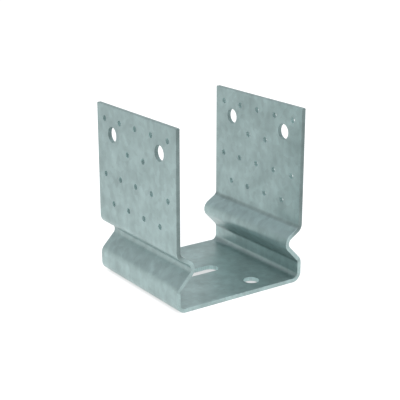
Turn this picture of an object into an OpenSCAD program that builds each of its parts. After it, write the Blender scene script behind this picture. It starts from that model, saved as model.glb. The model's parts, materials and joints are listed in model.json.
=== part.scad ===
// U post base folded from one strip of galvanised sheet.
// X runs across the U, Y from the front edge to the rear edge, Z up.
// The origin is the middle of the underside, which stands on the ground.

/* [Sheet] */
// Thickness of the sheet
sheet_t = 3; // [2:0.25:4]
// Inside radius of every fold
fold_r = 4; // [2:0.25:5]
// Depth of the strip, from its front edge to its rear edge
depth = 100; // [90:1:160]
// Clear width between the upright plates, which is the post's width
post_w = 100; // [90:1:160]

/* [Profile] */
// Height of the foot wall, from the underside to its upper fold
foot_h = 16; // [14:0.5:30]
// Rise of the flange that leans in from the foot wall to the waist
lower_rise = 15; // [10:0.5:25]
// Rise of the flange that leans out from the waist to the upright plate
upper_rise = 9; // [8:0.5:25]
// Distance that the waist stands in from the upright plates
waist_in = 14.5; // [10:0.5:20]
// Height of the upright plate, from the fold at its foot to its top edge
plate_h = 86; // [60:0.5:140]

/* [Nail holes] */
// Diameter of a nail hole
nail_d = 4; // [3:0.5:6]
// Distance between the nail holes of a row, and between the rows
nail_pitch = 20; // [16:1:30]
// Least distance from a nail hole's centre to an edge or a fold of its plate
nail_edge = 10; // [6:0.5:14]

/* [Bolt holes] */
// Diameter of the two bolt holes in each upright plate
bolt_d = 11; // [7:0.5:14]
// Distance from a bolt hole's centre to the front or rear edge
bolt_edge = 20; // [12:1:30]
// Distance from a bolt hole's centre to the top edge
bolt_drop = 20; // [12:1:40]
// Least width of sheet left between a nail hole and a bolt hole
hole_web = 4; // [2:0.5:6]

/* [Base holes] */
// Width of the slot in the middle of the base
slot_w = 11; // [8:0.5:16]
// Length of the slot across the U, from end to end
slot_l = 30; // [20:1:40]
// Diameter of the two anchor holes on the base's diagonal
anchor_d = 11; // [8:0.5:16]
// Distance of an anchor hole's centre from the middle, across the U
anchor_out = 20; // [16:1:30]
// Distance from an anchor hole's centre to the front or rear edge
anchor_edge = 15; // [10:1:20]

/* [Hidden] */

// Sides of a full circle where it is drawn as a mesh
$fn = 64;

// Length by which a drill runs past the faces that it goes through
drill_over = 1;

// Amount by which the arc of a fold overlaps the flats that it joins
fold_lap = 0.0005;

// Heights of the folds and of the top edge
waist_z = foot_h + lower_rise;
plate_z = waist_z + upper_rise;
top_z = plate_z + plate_h;

// Overall width, and the middle of the sheet's thickness in a plate
outer_w = post_w + 2 * sheet_t;
plate_x = (post_w + sheet_t) / 2;

// Sharp corners of the right half's section, along the middle of the sheet's thickness
half_path = [
    [plate_x, sheet_t / 2],
    [plate_x, foot_h],
    [plate_x - waist_in, waist_z],
    [plate_x, plate_z],
    [plate_x, top_z],
];

// Sharp corners of the whole section, from the left top edge to the right one
left_path = [for (i = [len(half_path) - 1 : -1 : 0]) [-half_path[i][0], half_path[i][1]]];
path = concat(left_path, half_path);
last = len(path) - 1;

// Direction in degrees of the flat that leaves corner i
function heading(i) = atan2(path[i + 1][1] - path[i][1], path[i + 1][0] - path[i][0]);

// Angle from -180 to 180 that the sheet turns through at corner i, positive to the left
function wrap(angle) = angle > 180 ? angle - 360 : angle < -180 ? angle + 360 : angle;
function turn(i) = wrap(heading(i) - heading(i - 1));

// Direction in degrees, pointing left of the path, of the line that halves corner i
function left_of(i) =
    i == 0 ? heading(0) + 90 :
    i == last ? heading(last - 1) + 90 :
    heading(i - 1) + turn(i) / 2 + 90;

// Point where the sheet's left face (side 1) or right face (side -1) turns sharply at corner i
function face_corner(i, side) =
    let (half_turn = i == 0 || i == last ? 0 : turn(i) / 2)
    path[i] + side * sheet_t / 2 / cos(half_turn) * [cos(left_of(i)), sin(left_of(i))];

// Section of the strip with sharp corners
module sharp_section() {
    polygon([
        for (i = [0 : last]) face_corner(i, 1),
        for (i = [last : -1 : 0]) face_corner(i, -1),
    ]);
}

// Space between an arc of radius r round the fold at corner i and its two tangents,
// drawn as far as tip, a distance from the arc's centre
module fold_corner(i, r, tip) {
    half_turn = abs(turn(i)) / 2;
    side = sign(turn(i));
    to_centre = side * (fold_r + sheet_t / 2) / cos(half_turn);
    translate(path[i] + to_centre * [cos(left_of(i)), sin(left_of(i))])
        rotate(left_of(i) + (side > 0 ? 180 : 0))
            difference() {
                polygon([
                    r * [cos(half_turn), -sin(half_turn)],
                    [tip, 0],
                    r * [cos(half_turn), sin(half_turn)],
                ]);
                circle(r + fold_lap);
            }
}

// Carries a section along the strip, past its front and rear edges by over
module along_depth(over) {
    translate([0, depth / 2 + over, 0])
        rotate([90, 0, 0])
            linear_extrude(depth + 2 * over)
                children();
}

// The whole strip with its folds rounded, inside and outside, but not yet drilled
module folded_strip() {
    difference() {
        union() {
            along_depth(0) sharp_section();
            for (i = [1 : last - 1])
                along_depth(0) fold_corner(i, fold_r, fold_r / cos(turn(i) / 2) + sheet_t / 2);
        }
        for (i = [1 : last - 1])
            along_depth(drill_over)
                fold_corner(i, fold_r + sheet_t, 2 * (fold_r + sheet_t) / cos(turn(i) / 2));
    }
}

// Hole through both plates, a distance y from their middle and drop from the top edge
module plate_hole(d, y, drop) {
    translate([-outer_w / 2 - drill_over, y, top_z - drop])
        rotate([0, 90, 0])
            cylinder(d = d, h = outer_w + 2 * drill_over);
}

// Hole down through the base
module base_hole(d, x, y) {
    translate([x, y, -drill_over])
        cylinder(d = d, h = sheet_t + 2 * drill_over);
}

// Distance of the bolt holes from the middle of the plate
bolt_y = depth / 2 - bolt_edge;

// Whether a nail hole leaves enough sheet beside the bolt holes
function clears_bolts(y, drop) =
    norm([abs(y) - bolt_y, drop - bolt_drop]) >= (nail_d + bolt_d) / 2 + hole_web;

// Rows of nail holes, each staggered by half a pitch against the one above it
module nail_holes() {
    rows = floor((plate_h - 2 * nail_edge) / nail_pitch);
    steps = floor((depth - 2 * nail_edge) / nail_pitch);
    for (row = [0 : rows], step = [-steps : steps]) {
        y = step * nail_pitch / 2;
        drop = nail_edge + row * nail_pitch;
        if ((row + step) % 2 == 0 && clears_bolts(y, drop)) plate_hole(nail_d, y, drop);
    }
}

module bolt_holes() {
    for (side = [-1, 1]) plate_hole(bolt_d, side * bolt_y, bolt_drop);
}

// Slot in the middle of the base, with round ends
module base_slot() {
    reach = (slot_l - slot_w) / 2;
    for (side = [-1, 1]) base_hole(slot_w, side * reach, 0);
    translate([-reach, -slot_w / 2, -drill_over])
        cube([2 * reach, slot_w, sheet_t + 2 * drill_over]);
}

// Anchor hole at the front right, and its partner at the other end of the diagonal
module anchor_holes() {
    for (side = [-1, 1]) base_hole(anchor_d, side * anchor_out, side * (anchor_edge - depth / 2));
}

module post_base() {
    color([0.60, 0.67, 0.67])
        difference() {
            folded_strip();
            nail_holes();
            bolt_holes();
            base_slot();
            anchor_holes();
        }
}

post_base();
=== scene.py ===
"""Looks of a u post base: one strip of galvanised sheet, folded and punched, on a white table."""
import json
import math
from typing import NamedTuple

import bpy
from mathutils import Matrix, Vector
from mathutils.geometry import delaunay_2d_cdt


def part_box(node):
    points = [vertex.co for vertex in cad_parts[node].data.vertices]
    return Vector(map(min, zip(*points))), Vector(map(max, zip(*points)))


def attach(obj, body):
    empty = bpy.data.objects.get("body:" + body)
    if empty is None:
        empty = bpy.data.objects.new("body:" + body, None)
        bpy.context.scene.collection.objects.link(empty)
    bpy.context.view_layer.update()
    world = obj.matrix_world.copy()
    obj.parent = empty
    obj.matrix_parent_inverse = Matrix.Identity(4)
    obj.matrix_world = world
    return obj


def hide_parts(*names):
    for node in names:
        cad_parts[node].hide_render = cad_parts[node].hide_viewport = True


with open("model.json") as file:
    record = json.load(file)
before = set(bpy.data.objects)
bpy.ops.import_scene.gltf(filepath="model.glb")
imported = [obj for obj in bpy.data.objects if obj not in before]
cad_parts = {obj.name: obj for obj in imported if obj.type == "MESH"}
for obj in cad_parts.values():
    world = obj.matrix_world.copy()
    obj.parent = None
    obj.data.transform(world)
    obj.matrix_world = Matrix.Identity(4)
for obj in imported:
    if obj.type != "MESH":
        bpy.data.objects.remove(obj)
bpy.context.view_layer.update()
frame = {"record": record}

# Shapes are worked out in millimetres, and MM turns them into metres
MM = 0.001

# Outer sizes of the folded strip, from the frame
HALF_WIDTH, HALF_DEPTH, TOP_Z = (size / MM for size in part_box("post_base")[1])

# Section of the strip
SHEET_T = 3.0
FOLD_R = 4.0
FOOT_H = 16.0
WAIST_Z = 31.0
PLATE_Z = 40.0
WAIST_IN = 14.5

# Sizes of the holes, from the record's mounts
mount_dims = {mount["name"]: mount["dims"] for mount in frame["record"]["mounts"]}
NAIL_R = mount_dims["left_nails_outer"]["hole_r_mm"]
BOLT_R = mount_dims["left_bolts"]["hole_r_mm"]
ANCHOR_R = mount_dims["ground_anchors"]["hole_r_mm"]
SLOT_R = mount_dims["centre_slot"]["hole_r_mm"]
SLOT_LENGTH = mount_dims["centre_slot"]["slot_length_mm"]

# Places of the holes in each upright plate, and the least width of sheet between nail and bolt holes
NAIL_PITCH = 20.0
NAIL_EDGE = 10.0
BOLT_EDGE = 20.0
BOLT_DROP = 20.0
HOLE_WEB = 4.0

# Places of the two anchor holes in the base
ANCHOR_OUT = 20.0
ANCHOR_EDGE = 15.0

# Rounding of the sheared edges, of the rims of the punched holes, and of the strip's four corners
EDGE_R = 0.4
RIM_R = 0.2
CORNER_R = 0.8

# Fineness of the mesh
EDGE_STEPS = 4
CORNER_STEPS = 5
FLAT_STEP = 4.0
FOLD_STEP = math.radians(8)
HOLE_STEP = 0.9
HOLE_CLEAR = 1.2
SAME_POINT = 1e-6

# Roughness beyond that of the faces: on the sheared edges and base holes, and in the plates' holes
EDGE_ROUGH = 0.15
WALL_ROUGH = 0.4

# Brightness of the cut edges against the faces: on the strip's two ends, along the plates, along the foot,
# and in the holes.
# Below the plates, the long edges change to the foot's tone over SIDE_FADE. Besides the cut zinc's own
# tone, the long edges
# carry a painted reflection: darker along the plates, lighter along the foot
END_TONE = 0.75
PLATE_SIDE_TONE_AND_SHADE = 0.60
FOOT_SIDE_TONE_AND_LIGHT = 1.1
SIDE_FADE = 10.0
# Painted light in the holes: nail-hole walls a little lighter, and base-hole walls much lighter as a
# painted reflection of the bright floor. Bolt-hole walls are darker
NAIL_HOLE_PAINTED_LIGHT = 1.15
BOLT_HOLE_TONE = 0.85
BASE_HOLE_PAINTED_REFLECTION = 1.65

# Painted shade in the hollow of each fold, as brightness against the faces, from the plate down to the base
PLATE_CREASE_SHADE = 0.72
WAIST_CREASE_SHADE = 0.87
FLANGE_CREASE_SHADE = 0.68
BASE_CREASE_SHADE = 0.76

# Zinc
ZINC_COLOUR = (0.385, 0.500, 0.494, 1)
ZINC_METALLIC = 0.82

# Noise in the zinc: scale, detail, and stretch along the strip, across it and through the sheet
EVEN = (1, 1, 1)
PATCHES = (55, 3, EVEN)
MOTTLE = (170, 2, EVEN)
GRAIN = (1400, 2, EVEN)
STREAKS = (1, 3, (14, 520, 200))
SHEAR_MARKS = (1, 1, (2600, 2600, 120))
SPANGLE_SCALE = 260

# Range that noise mostly stays in, and the tones and roughness that the patterns are spread over
NOISE_RANGE = (0.3, 0.7)
PATCH_TONES = (0.90, 1.08)
MOTTLE_TONES = (0.94, 1.06)
STREAK_TONES = (0.975, 1.025)
SPANGLE_TONES = (0.93, 1.07)
PATCH_ROUGH = (0.40, 0.31)
SPANGLE_ROUGH = (-0.03, 0.03)

# Most that the shear marks change the tone of a cut edge by
SHEAR_LIMIT = 0.11

# Relief of the zinc: the share of each pattern, and the strength and depth of the bump
SPANGLE_RELIEF = 0.3
GRAIN_RELIEF = 0.2
SHEAR_RELIEF = 3.0
BUMP_STRENGTH = 0.15
BUMP_DISTANCE = 0.05

# Floor: half its width in metres, its own white and roughness, and its glow in the open and under the base,
# where the lower glow is a painted shadow
FLOOR_HALF = 6.0
FLOOR_WHITE = 0.33
FLOOR_ROUGH = 0.9
OPEN_GLOW = 0.86
SHADOW_GLOW = 0.45

# Painted shadow under the base: insets from the part's outer sides at which the floor's glow is fully down
# to the painted shadow's glow, and at which it begins to fall
SHADOW_INSET_X = (7.0, 1.0)
SHADOW_INSET_Y = (6.0, 0.5)

# Painted darker reflection: the share that the floor loses where the metal reflects it, at two distances to
# the front or rear, in metres
REFLECTED_LOSS = (0.16, 0.32)
REFLECTED_AT = (0.06, 0.25)

# Sky: light by the height that it comes from, as (height, (red, green, blue))
SKY_TONES = (
    (0.0, (1.0, 1.0, 1.0)),
    (0.30, (0.67, 0.69, 0.69)),
    (0.52, (0.60, 0.62, 0.64)),
    (0.63, (0.50, 0.52, 0.55)),
)

# Lamp above the part, in metres and watts
LAMP_SIZE = 1.5
LAMP_HEIGHT = 1.5
LAMP_POWER = 14.0

# Camera at the photograph's viewing angle, in metres, with its lens in millimetres
CAMERA_AZIMUTH = math.radians(-34.83)
CAMERA_ELEVATION = math.radians(17.59)
CAMERA_DISTANCE = 0.71056
CAMERA_TARGET = Vector((0.0001, 0, 0.0571))
CAMERA_LENS = 90.0
CAMERA_SENSOR = 36.0


def fold_line():
    """Sharp corners of the section along the middle of the sheet, as (x, z), left top to right top."""
    plate_x = HALF_WIDTH - SHEET_T / 2
    half = [
        (plate_x, SHEET_T / 2),
        (plate_x, FOOT_H),
        (plate_x - WAIST_IN, WAIST_Z),
        (plate_x, PLATE_Z),
        (plate_x, TOP_Z),
    ]
    return [Vector((-x, z)) for x, z in reversed(half)] + [Vector(corner) for corner in half]


class Stretch(NamedTuple):
    """A flat or a fold: its place along the strip, how it lies and bends, and the painted shade in its
    crease.
    """

    begin: float
    length: float
    start: Vector
    heading: float
    bend: float
    crease: float


class Strip:
    """The strip before folding, measured along its length, and where the folds take each point."""

    def __init__(self, corners):
        self.stretches = []
        self.length = 0.0
        radius = FOLD_R + SHEET_T / 2
        runs = [after - before for before, after in zip(corners, corners[1:])]
        headings = [math.atan2(run.y, run.x) for run in runs]
        turns = [0.0]
        for before, after in zip(headings, headings[1:]):
            turns.append(math.remainder(after - before, math.tau))
        turns.append(0.0)
        cuts = [radius * math.tan(abs(turn) / 2) for turn in turns]
        # Painted shade in the hollow of each fold, from the left plate down to the base and, reversed, up
        # the right
        crease_shades = [PLATE_CREASE_SHADE, WAIST_CREASE_SHADE, FLANGE_CREASE_SHADE, BASE_CREASE_SHADE]
        crease_shades = crease_shades + crease_shades[::-1]
        for i, run in enumerate(runs):
            way = run.normalized()
            start = corners[i] + cuts[i] * way
            flat = run.length - cuts[i] - cuts[i + 1]
            self.add(start, headings[i], 0.0, flat)
            turn = turns[i + 1]
            if turn:
                bend = math.copysign(1 / radius, turn)
                self.add(start + flat * way, headings[i], bend, radius * abs(turn), crease_shades[i])

    def add(self, start, heading, bend, length, crease=1.0):
        """Adds a flat, where bend is 0, or a fold to the end of the strip."""
        self.stretches.append(Stretch(self.length, length, start, heading, bend, crease))
        self.length += length

    def lines(self):
        """Places along the strip where the mesh has a row of points, closer together in the folds."""
        places = []
        for stretch in self.stretches:
            step = FOLD_STEP / abs(stretch.bend) if stretch.bend else FLAT_STEP
            count = max(1, math.ceil(stretch.length / step))
            places.extend(stretch.begin + stretch.length * k / count for k in range(count))
        return places[1:]

    def fold(self, along):
        """
        Where a distance along the strip comes to lie: the place of the sheet's middle, as (x, z), and its
        heading. Then how far into a fold it is, from 0 to 1, or to -1 where the fold turns right, and the
        painted shade of that fold's crease.
        """
        begin, length, start, heading, bend, crease = self.stretches[0]
        for stretch in self.stretches:
            if along >= stretch.begin:
                begin, length, start, heading, bend, crease = stretch
        way = along - begin
        if not bend:
            return start + way * Vector((math.cos(heading), math.sin(heading))), heading, 0.0, crease
        turned = heading + way * bend
        run = Vector((math.sin(turned) - math.sin(heading), math.cos(heading) - math.cos(turned)))
        depth = math.copysign(math.sin(math.pi * way / length), bend)
        return start + run / bend, turned, depth, crease


class Hole:
    """A hole punched in the flat strip: round, or a slot that runs on along it by reach both ways."""

    def __init__(self, along, y, radius, tone, rough, reach=0.0):
        self.along = along
        self.y = y
        self.radius = radius
        self.tone = tone
        self.rough = rough
        self.reach = reach

    def gap(self, along, y):
        """Distance from the hole's edge to a place in the strip, negative inside the hole."""
        past = max(0.0, abs(along - self.along) - self.reach)
        return math.hypot(past, y - self.y) - self.radius

    def loop(self):
        """The outline, with the material on the left: place, direction out of the material, and tone."""
        turns = 2 * math.ceil(math.pi / 2 * self.radius / HOLE_STEP)
        runs = math.ceil(2 * self.reach / FLAT_STEP)
        loop = []
        for end in (1, -1):
            centre = Vector((self.along + end * self.reach, self.y))
            for k in range(turns):
                angle = end * math.pi / 2 - math.pi * k / turns
                out = Vector((math.cos(angle), math.sin(angle)))
                loop.append((centre + self.radius * out, -out, self.tone))
            for k in range(runs):
                run = Vector((-end * 2 * self.reach * k / runs, -end * self.radius))
                loop.append((centre + run, Vector((0, end)), self.tone))
        return loop


def plate_holes():
    """Height, place in depth, radius and tone of each hole in an upright plate."""
    bolt_z = TOP_Z - BOLT_DROP
    bolt_y = HALF_DEPTH - BOLT_EDGE
    holes = [(bolt_z, side * bolt_y, BOLT_R, BOLT_HOLE_TONE) for side in (-1, 1)]
    rows = int((TOP_Z - PLATE_Z - 2 * NAIL_EDGE) // NAIL_PITCH)
    steps = int((2 * HALF_DEPTH - 2 * NAIL_EDGE) // NAIL_PITCH)
    for row in range(rows + 1):
        for step in range(-steps, steps + 1):
            z = TOP_Z - NAIL_EDGE - row * NAIL_PITCH
            y = step * NAIL_PITCH / 2
            clear = math.hypot(abs(y) - bolt_y, z - bolt_z) >= NAIL_R + BOLT_R + HOLE_WEB
            if (row + step) % 2 == 0 and clear:
                holes.append((z, y, NAIL_R, NAIL_HOLE_PAINTED_LIGHT))
    return holes


def strip_holes(length):
    """Every hole, placed along the flat strip."""
    holes = []
    for z, y, radius, tone in plate_holes():
        down = TOP_Z - z
        holes.append(Hole(down, y, radius, tone, WALL_ROUGH))
        holes.append(Hole(length - down, y, radius, tone, WALL_ROUGH))
    middle = length / 2
    holes.append(Hole(middle, 0.0, SLOT_R, BASE_HOLE_PAINTED_REFLECTION, EDGE_ROUGH, SLOT_LENGTH / 2 - SLOT_R))
    for side in (-1, 1):
        anchor_y = side * (ANCHOR_EDGE - HALF_DEPTH)
        holes.append(Hole(middle + side * ANCHOR_OUT, anchor_y, ANCHOR_R, BASE_HOLE_PAINTED_REFLECTION, EDGE_ROUGH))
    return holes


def side_tone_and_shade(from_end):
    """Brightness of the long sheared edges at a distance from the strip's nearer end: their own tone with a
    painted reflection, darker along the plates and lighter along the foot.
    """
    share = (from_end - (TOP_Z - PLATE_Z)) / SIDE_FADE
    share = min(1.0, max(0.0, share))
    return PLATE_SIDE_TONE_AND_SHADE + share * (FOOT_SIDE_TONE_AND_LIGHT - PLATE_SIDE_TONE_AND_SHADE)


def border_loop(length, lines, rows):
    """The strip's outline, in the form of a hole's loop, with a point at each end of the lines and rows."""
    loop = []

    def add(along, y, out):
        tone = END_TONE * out.x ** 2 + side_tone_and_shade(min(along, length - along)) * out.y ** 2
        loop.append((Vector((along, y)), out, tone))

    def corner(along, y, first):
        for k in range(CORNER_STEPS + 1):
            angle = first + math.pi / 2 * k / CORNER_STEPS
            out = Vector((math.cos(angle), math.sin(angle)))
            add(along + CORNER_R * out.x, y + CORNER_R * out.y, out)

    near = CORNER_R
    far = length - CORNER_R
    side = HALF_DEPTH - CORNER_R
    inner_lines = [s for s in lines if near < s < far]
    inner_rows = [y for y in rows if abs(y) < side]
    corner(near, -side, math.pi)
    for s in inner_lines:
        add(s, -HALF_DEPTH, Vector((0, -1)))
    corner(far, -side, -math.pi / 2)
    for y in inner_rows:
        add(length, y, Vector((1, 0)))
    corner(far, side, 0.0)
    for s in reversed(inner_lines):
        add(s, HALF_DEPTH, Vector((0, 1)))
    corner(near, side, math.pi / 2)
    for y in reversed(inner_rows):
        add(0, y, Vector((-1, 0)))
    return loop


def edge_profile(radius):
    """Steps round a cut edge, inside face to outside face: inset, height, and the normal's two parts."""
    steps = []
    for k in range(EDGE_STEPS + 1):
        angle = math.pi / 2 * k / EDGE_STEPS
        inset = radius * (1 - math.sin(angle))
        height = SHEET_T / 2 - radius * (1 - math.cos(angle))
        steps.append((inset, height, math.sin(angle), math.cos(angle)))
    return steps + [(inset, -height, out, -up) for inset, height, out, up in reversed(steps)]


def triangles_of(points, border, hole_loops):
    """Triangles that fill the border and leave the holes open, as indices of points."""
    edges = []
    for loop in [border] + hole_loops:
        edges.extend(zip(loop, loop[1:] + loop[:1]))
    _, _, faces, origins, _, _ = delaunay_2d_cdt(points, edges, [], 0, SAME_POINT)
    source = [origin[0] for origin in origins]
    hole_of = {v: number for number, loop in enumerate(hole_loops) for v in loop}
    triangles = []
    for face in faces:
        triangle = [source[v] for v in face]
        # Every hole is convex, so only the triangles inside it have all their points on its loop
        touched = {hole_of.get(v) for v in triangle}
        if len(touched) > 1 or None in touched:
            triangles.append(triangle)
    return triangles


class FoldedPoints:
    """Points of the folded sheet, with what the mesh and its material keep at each of them."""

    def __init__(self, strip):
        self.strip = strip
        self.vertices = []
        self.normals = []
        self.places = []
        self.cuts = []
        self.tones = []

    def add(self, place, height, out, outward, up, tone=1.0, rough=0.0):
        """
        Folds a place of the flat strip, at a height over the sheet's middle, and returns the point's
        number. Its normal has a part outward along out, by which a cut edge's tone and roughness count
        too, and a part up from the sheet.
        """
        middle, heading, depth, crease = self.strip.fold(place.x)
        # How far the point lies in the hollow of a fold, where the crease's painted shade darkens it
        crease_shade_share = max(0.0, depth * height / (SHEET_T / 2))
        sheet_way = Vector((math.cos(heading), 0, math.sin(heading)))
        sheet_up = Vector((-math.sin(heading), 0, math.cos(heading)))
        sheet_out = out.x * sheet_way + out.y * Vector((0, 1, 0))
        self.vertices.append((Vector((middle.x, place.y, middle.y)) + height * sheet_up) * MM)
        self.normals.append(outward * sheet_out + up * sheet_up)
        self.places.append(Vector((place.x, place.y, height)) * MM)
        self.cuts.append(outward * rough)
        self.tones.append((1 + outward * (tone - 1)) * (1 + crease_shade_share * (crease - 1)))
        return len(self.vertices) - 1

    def mesh(self, name, faces):
        """The mesh that has these points and faces."""
        mesh = bpy.data.meshes.new(name)
        mesh.from_pydata(self.vertices, [], faces)
        mesh.shade_smooth()
        mesh.normals_split_custom_set_from_vertices(self.normals)
        strip_place = mesh.attributes.new("strip_place", "FLOAT_VECTOR", "POINT")
        strip_place.data.foreach_set("vector", [value for place in self.places for value in place])
        cut_rough = mesh.attributes.new("cut_rough", "FLOAT", "POINT")
        cut_rough.data.foreach_set("value", self.cuts)
        # Tone at each point: the cut edges' own tone with their painted reflection and light, times the
        # painted shade in the folds' hollows
        zinc_tone_and_painted_shade = mesh.attributes.new("zinc_tone_and_painted_shade", "FLOAT", "POINT")
        zinc_tone_and_painted_shade.data.foreach_set("value", self.tones)
        return mesh


def build_sheet():
    """The folded and punched strip as one closed mesh with rounded edges."""
    strip = Strip(fold_line())
    lines = strip.lines()
    row_count = round(2 * HALF_DEPTH / FLAT_STEP)
    rows = [HALF_DEPTH * (2 * k / row_count - 1) for k in range(1, row_count)]
    holes = strip_holes(strip.length)
    outlines = [(EDGE_R, EDGE_ROUGH, border_loop(strip.length, lines, rows))]
    outlines.extend((RIM_R, hole.rough, hole.loop()) for hole in holes)

    # Each face of the sheet ends where the rounding of its edges begins
    face_places = []
    loops = []
    for radius, _, outline in outlines:
        loops.append(list(range(len(face_places), len(face_places) + len(outline))))
        face_places.extend(place - radius * out for place, out, _ in outline)
    for s in lines:
        for y in rows:
            if all(hole.gap(s, y) > HOLE_CLEAR for hole in holes):
                face_places.append(Vector((s, y)))

    points = FoldedPoints(strip)
    level = Vector((0, 0))
    inside = [points.add(place, SHEET_T / 2, level, 0, 1) for place in face_places]
    outside = [points.add(place, -SHEET_T / 2, level, 0, -1) for place in face_places]
    faces = []
    for a, b, c in triangles_of(face_places, loops[0], loops[1:]):
        faces.append((inside[a], inside[b], inside[c]))
        faces.append((outside[a], outside[c], outside[b]))
    for (radius, rough, outline), loop in zip(outlines, loops):
        rings = [[inside[v] for v in loop]]
        for inset, height, outward, up in edge_profile(radius)[1:-1]:
            ring = []
            for place, out, tone in outline:
                ring.append(points.add(place - inset * out, height, out, outward, up, tone, rough))
            rings.append(ring)
        rings.append([outside[v] for v in loop])
        for upper, lower in zip(rings, rings[1:]):
            for k in range(len(loop)):
                after = (k + 1) % len(loop)
                faces.append((upper[k], lower[k], lower[after], upper[after]))

    sheet = bpy.data.objects.new("folded_sheet", points.mesh("folded_sheet", faces))
    bpy.context.scene.collection.objects.link(sheet)
    return sheet


class Nodes:
    """Short calls that add nodes to a tree and join them."""

    def __init__(self, tree):
        self.tree = tree
        tree.nodes.clear()

    def add(self, kind, inputs=None, **settings):
        """A new node, with each input joined to a socket or set to a value."""
        node = self.tree.nodes.new(kind)
        for name, value in settings.items():
            setattr(node, name, value)
        for name, value in (inputs or {}).items():
            socket = node.inputs[name]
            if isinstance(value, bpy.types.NodeSocket):
                self.tree.links.new(value, socket)
            else:
                socket.default_value = value
        return node

    def math(self, operation, first, second=0.0):
        """The result of a sum on one or two values."""
        return self.add("ShaderNodeMath", {0: first, 1: second}, operation=operation).outputs[0]

    def map(self, value, source, target):
        """A value moved from the range source to the range target, and kept within it."""
        inputs = {
            "Value": value,
            "From Min": source[0],
            "From Max": source[1],
            "To Min": target[0],
            "To Max": target[1],
        }
        return self.add("ShaderNodeMapRange", inputs).outputs["Result"]

    def ramp(self, value, tones):
        """A colour that runs through tones, given as (value, (red, green, blue)) in rising order."""
        node = self.add("ShaderNodeValToRGB", {"Fac": value})
        elements = node.color_ramp.elements
        while len(elements) < len(tones):
            elements.new(1.0)
        for element, (position, tone) in zip(elements, tones):
            element.position = position
            element.color = (*tone, 1)
        return node.outputs["Color"]


def galvanised_steel():
    """Zinc coat with patches, mottle, a faint spangle, streaks along the strip and shear marks on cuts."""
    material = bpy.data.materials.new("galvanised_steel")
    material.use_nodes = True
    nodes = Nodes(material.node_tree)
    place = nodes.add("ShaderNodeAttribute", attribute_name="strip_place").outputs["Vector"]
    cut_rough = nodes.add("ShaderNodeAttribute", attribute_name="cut_rough").outputs["Fac"]
    zinc_tone_and_painted_shade = nodes.add("ShaderNodeAttribute", attribute_name="zinc_tone_and_painted_shade").outputs["Fac"]

    def noise(scale, detail, stretch):
        spread = nodes.add("ShaderNodeVectorMath", {0: place, 1: stretch}, operation="MULTIPLY")
        inputs = {"Vector": spread.outputs[0], "Scale": scale, "Detail": detail}
        return nodes.add("ShaderNodeTexNoise", inputs).outputs["Fac"]

    patches = noise(*PATCHES)
    crystals = nodes.add("ShaderNodeTexVoronoi", {"Vector": place, "Scale": SPANGLE_SCALE}).outputs["Color"]
    spangle = nodes.add("ShaderNodeSeparateColor", {"Color": crystals}).outputs["Red"]
    cut = nodes.math("MINIMUM", cut_rough, SHEAR_LIMIT)
    shear = nodes.math("MULTIPLY", cut, nodes.map(noise(*SHEAR_MARKS), NOISE_RANGE, (-1, 1)))

    # The zinc's tone carries painted light and shade: lighter and darker cut edges and holes, and shade in
    # the folds' hollows
    tone = nodes.math("MULTIPLY", zinc_tone_and_painted_shade, nodes.math("ADD", 1.0, shear))
    for pattern, source, tones in (
        (patches, NOISE_RANGE, PATCH_TONES),
        (noise(*MOTTLE), NOISE_RANGE, MOTTLE_TONES),
        (noise(*STREAKS), NOISE_RANGE, STREAK_TONES),
        (spangle, (0, 1), SPANGLE_TONES),
    ):
        tone = nodes.math("MULTIPLY", tone, nodes.map(pattern, source, tones))
    mix = {"Factor": 1.0, "A": ZINC_COLOUR, "B": tone}
    zinc = nodes.add("ShaderNodeMix", mix, data_type="RGBA", blend_type="MULTIPLY")

    rough = nodes.map(patches, NOISE_RANGE, PATCH_ROUGH)
    rough = nodes.math("ADD", rough, nodes.map(spangle, (0, 1), SPANGLE_ROUGH))
    rough = nodes.math("ADD", rough, cut_rough)

    relief = nodes.math("MULTIPLY", spangle, SPANGLE_RELIEF)
    for pattern, height in ((noise(*GRAIN), GRAIN_RELIEF), (shear, SHEAR_RELIEF)):
        relief = nodes.math("ADD", relief, nodes.math("MULTIPLY", pattern, height))
    bump = nodes.add("ShaderNodeBump", {
        "Strength": BUMP_STRENGTH,
        "Distance": BUMP_DISTANCE * MM,
        "Height": relief,
    })

    shader = nodes.add("ShaderNodeBsdfPrincipled", {
        "Metallic": ZINC_METALLIC,
        "Base Color": zinc.outputs["Result"],
        "Roughness": rough,
        "Normal": bump.outputs["Normal"],
    })
    nodes.add("ShaderNodeOutputMaterial", {"Surface": shader.outputs["BSDF"]})
    return material


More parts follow.
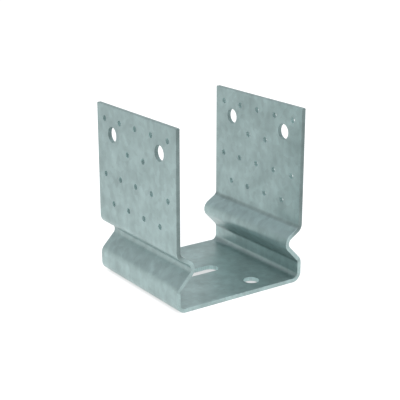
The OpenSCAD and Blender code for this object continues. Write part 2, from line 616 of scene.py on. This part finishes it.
def white_table():
    """White that glows to look white from the camera, with a painted shadow of less glow under the part,
    and is dimmer in the metal as a painted darker reflection.
    """
    material = bpy.data.materials.new("white_table")
    material.use_nodes = True
    nodes = Nodes(material.node_tree)
    place = nodes.add("ShaderNodeNewGeometry").outputs["Position"]
    spots = nodes.add("ShaderNodeSeparateXYZ", {"Vector": place}).outputs
    across = nodes.math("ABSOLUTE", spots["X"])
    along = nodes.math("ABSOLUTE", spots["Y"])

    def within(distance, half, insets):
        """1 where the floor is further in than the first inset, falling to 0 at the second."""
        return nodes.map(distance, [(half - inset) * MM for inset in insets], (1, 0))

    # Painted shadow: the floor glows less under the base
    shadow_x = within(across, HALF_WIDTH, SHADOW_INSET_X)
    shadow_y = within(along, HALF_DEPTH, SHADOW_INSET_Y)
    under = nodes.math("MULTIPLY", shadow_x, shadow_y)
    # Painted darker reflection: the floor is dimmer only where the metal reflects it
    in_metal = nodes.add("ShaderNodeLightPath").outputs["Is Glossy Ray"]
    loss = nodes.math("MULTIPLY", nodes.map(along, REFLECTED_AT, REFLECTED_LOSS), in_metal)
    shade = nodes.math("SUBTRACT", 1.0, loss)
    glow = nodes.math("MULTIPLY", shade, nodes.map(under, (0, 1), (OPEN_GLOW, SHADOW_GLOW)))
    shader = nodes.add("ShaderNodeBsdfPrincipled", {
        "Base Color": nodes.math("MULTIPLY", shade, FLOOR_WHITE),
        "Roughness": FLOOR_ROUGH,
        "Specular IOR Level": 0.0,
        "Emission Color": (1, 1, 1, 1),
        "Emission Strength": glow,
    })
    nodes.add("ShaderNodeOutputMaterial", {"Surface": shader.outputs["BSDF"]})
    return material


def add_floor():
    """A white table top that keeps the object's shadow."""
    mesh = bpy.data.meshes.new("floor")
    corners = [(x * FLOOR_HALF, y * FLOOR_HALF, 0) for x, y in ((-1, -1), (1, -1), (1, 1), (-1, 1))]
    mesh.from_pydata(corners, [], [(0, 1, 2, 3)])
    mesh.materials.append(white_table())
    floor = bpy.data.objects.new("floor", mesh)
    bpy.context.scene.collection.objects.link(floor)


def add_light():
    """Soft light from all round, white at the horizon and greyer above, and one broad lamp overhead."""
    world = bpy.data.worlds.new("studio")
    bpy.context.scene.world = world
    world.use_nodes = True
    nodes = Nodes(world.node_tree)
    way = nodes.add("ShaderNodeTexCoord").outputs["Generated"]
    height = nodes.add("ShaderNodeSeparateXYZ", {"Vector": way}).outputs["Z"]
    sky = nodes.add("ShaderNodeBackground", {"Color": nodes.ramp(height, SKY_TONES)})
    nodes.add("ShaderNodeOutputWorld", {"Surface": sky.outputs["Background"]})

    lamp = bpy.data.lights.new("overhead", "AREA")
    lamp.shape = "SQUARE"
    lamp.size = LAMP_SIZE
    lamp.energy = LAMP_POWER
    overhead = bpy.data.objects.new("overhead", lamp)
    overhead.location = (0, 0, LAMP_HEIGHT)
    bpy.context.scene.collection.objects.link(overhead)


def add_camera():
    """The camera, looking at the part from the photograph's side and height."""
    level = math.cos(CAMERA_ELEVATION)
    away = Vector((
        math.sin(CAMERA_AZIMUTH) * level,
        -math.cos(CAMERA_AZIMUTH) * level,
        math.sin(CAMERA_ELEVATION),
    ))
    lens = bpy.data.cameras.new("camera")
    lens.lens = CAMERA_LENS
    lens.sensor_width = CAMERA_SENSOR
    camera = bpy.data.objects.new("camera", lens)
    camera.location = CAMERA_TARGET + CAMERA_DISTANCE * away
    camera.rotation_euler = away.to_track_quat("Z", "Y").to_euler()
    bpy.context.scene.collection.objects.link(camera)
    bpy.context.scene.camera = camera


bpy.context.scene.view_settings.view_transform = "Standard"
add_camera()
add_floor()
add_light()

sheet = build_sheet()
sheet.data.materials.append(galvanised_steel())
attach(sheet, "root")
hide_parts("post_base")
